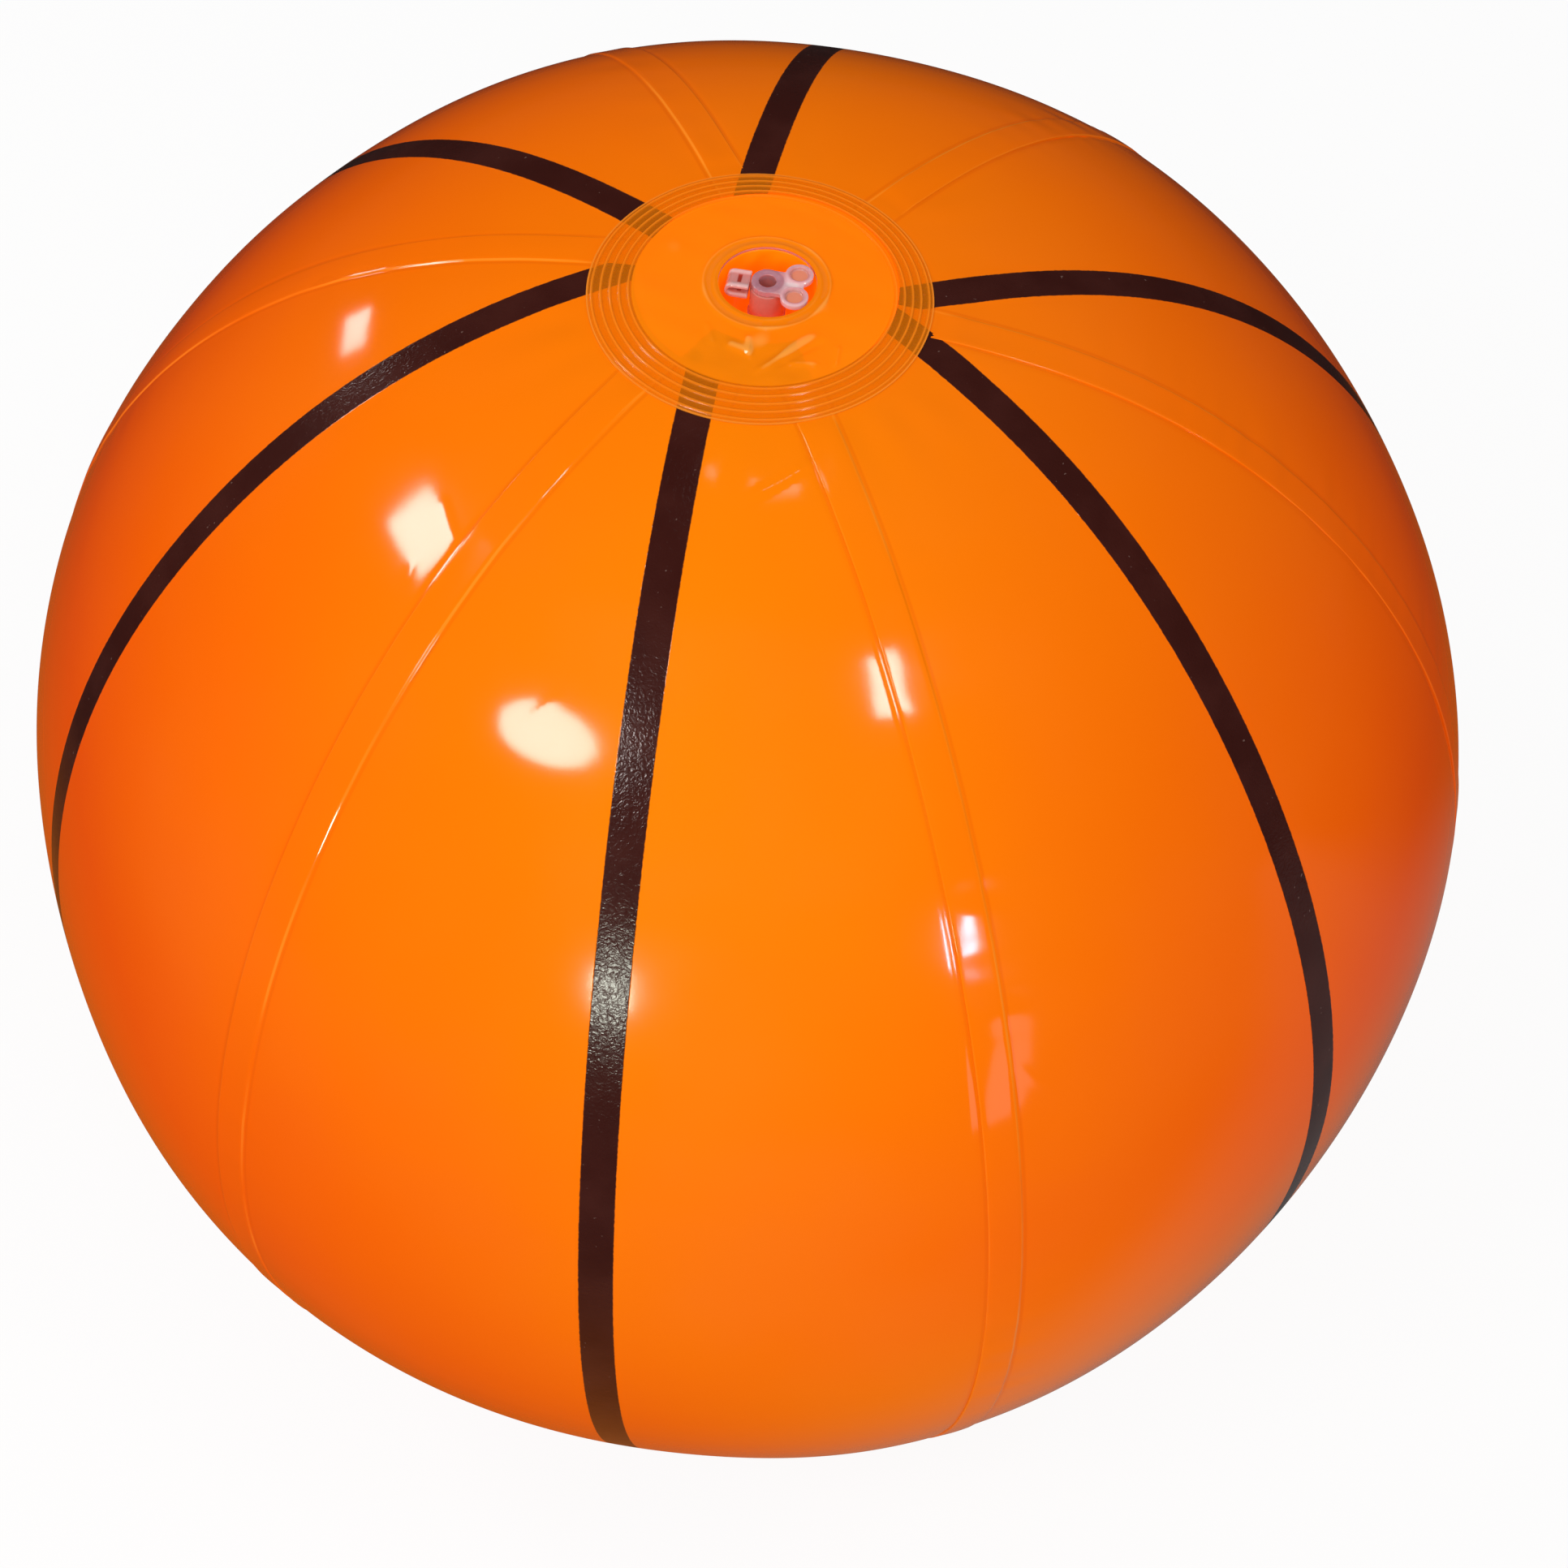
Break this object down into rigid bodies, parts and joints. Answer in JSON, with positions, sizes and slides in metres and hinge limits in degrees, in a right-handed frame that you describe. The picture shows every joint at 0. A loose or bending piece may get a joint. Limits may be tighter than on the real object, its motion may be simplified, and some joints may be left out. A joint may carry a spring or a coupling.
{
  "type": "inflatable beach ball",
  "caption": "Round air-filled ball of welded orange film panels with dark printed bands, a round patch at each pole and a clear push-in valve with a stopper.",
  "frame": {"origin": "centre of the ball, on the pole axis, halfway between the two patches", "axes": "+Z along the pole axis, out through the valve; -Y through the middle of the front gore, the one whose tip runs furthest under the valve patch; +X to the right seen from the front"},
  "size_m": [0.4006, 0.4, 0.375],
  "materials": {
    "ball_film": "smooth glossy PVC film with dark printed bands",
    "patch_film": "translucent orange PVC film, welded",
    "valve_pvc": "clear soft PVC with a faint violet tint"
  },
  "bodies": {
    "ball": {"gore_1": "ball_film", "gore_2": "ball_film", "gore_3": "ball_film", "gore_4": "ball_film", "gore_5": "ball_film", "gore_6": "ball_film", "valve_patch": "patch_film", "base_patch": "patch_film", "valve_flange": "valve_pvc", "valve_cup": "valve_pvc"},
    "valve_stem": {"valve_stem": "valve_pvc", "stopper_strap": "valve_pvc"},
    "stopper": {"stopper": "valve_pvc"},
    "check_flap": {"check_flap": "valve_pvc"}
  },
  "joints": [
    {"name": "valve_pop", "type": "slide", "parent": "ball", "child": "valve_stem", "axis": [0, 0, 1], "range_m": [0, 0.018], "deforming": ["valve_cup"]},
    {"name": "stopper_pull", "type": "slide", "parent": "valve_stem", "child": "stopper", "axis": [0, 0, 1], "range_m": [0, 0.008], "deforming": ["stopper_strap"]},
    {"name": "flap_hinge", "type": "hinge", "parent": "valve_stem", "child": "check_flap", "pos_m": [0.00555, 0, 0.16655], "axis": [0, -1, 0], "range_deg": [0, 60], "stiffness_Nm_per_rad": 0.0001, "springref_deg": -11.46}
  ]
}
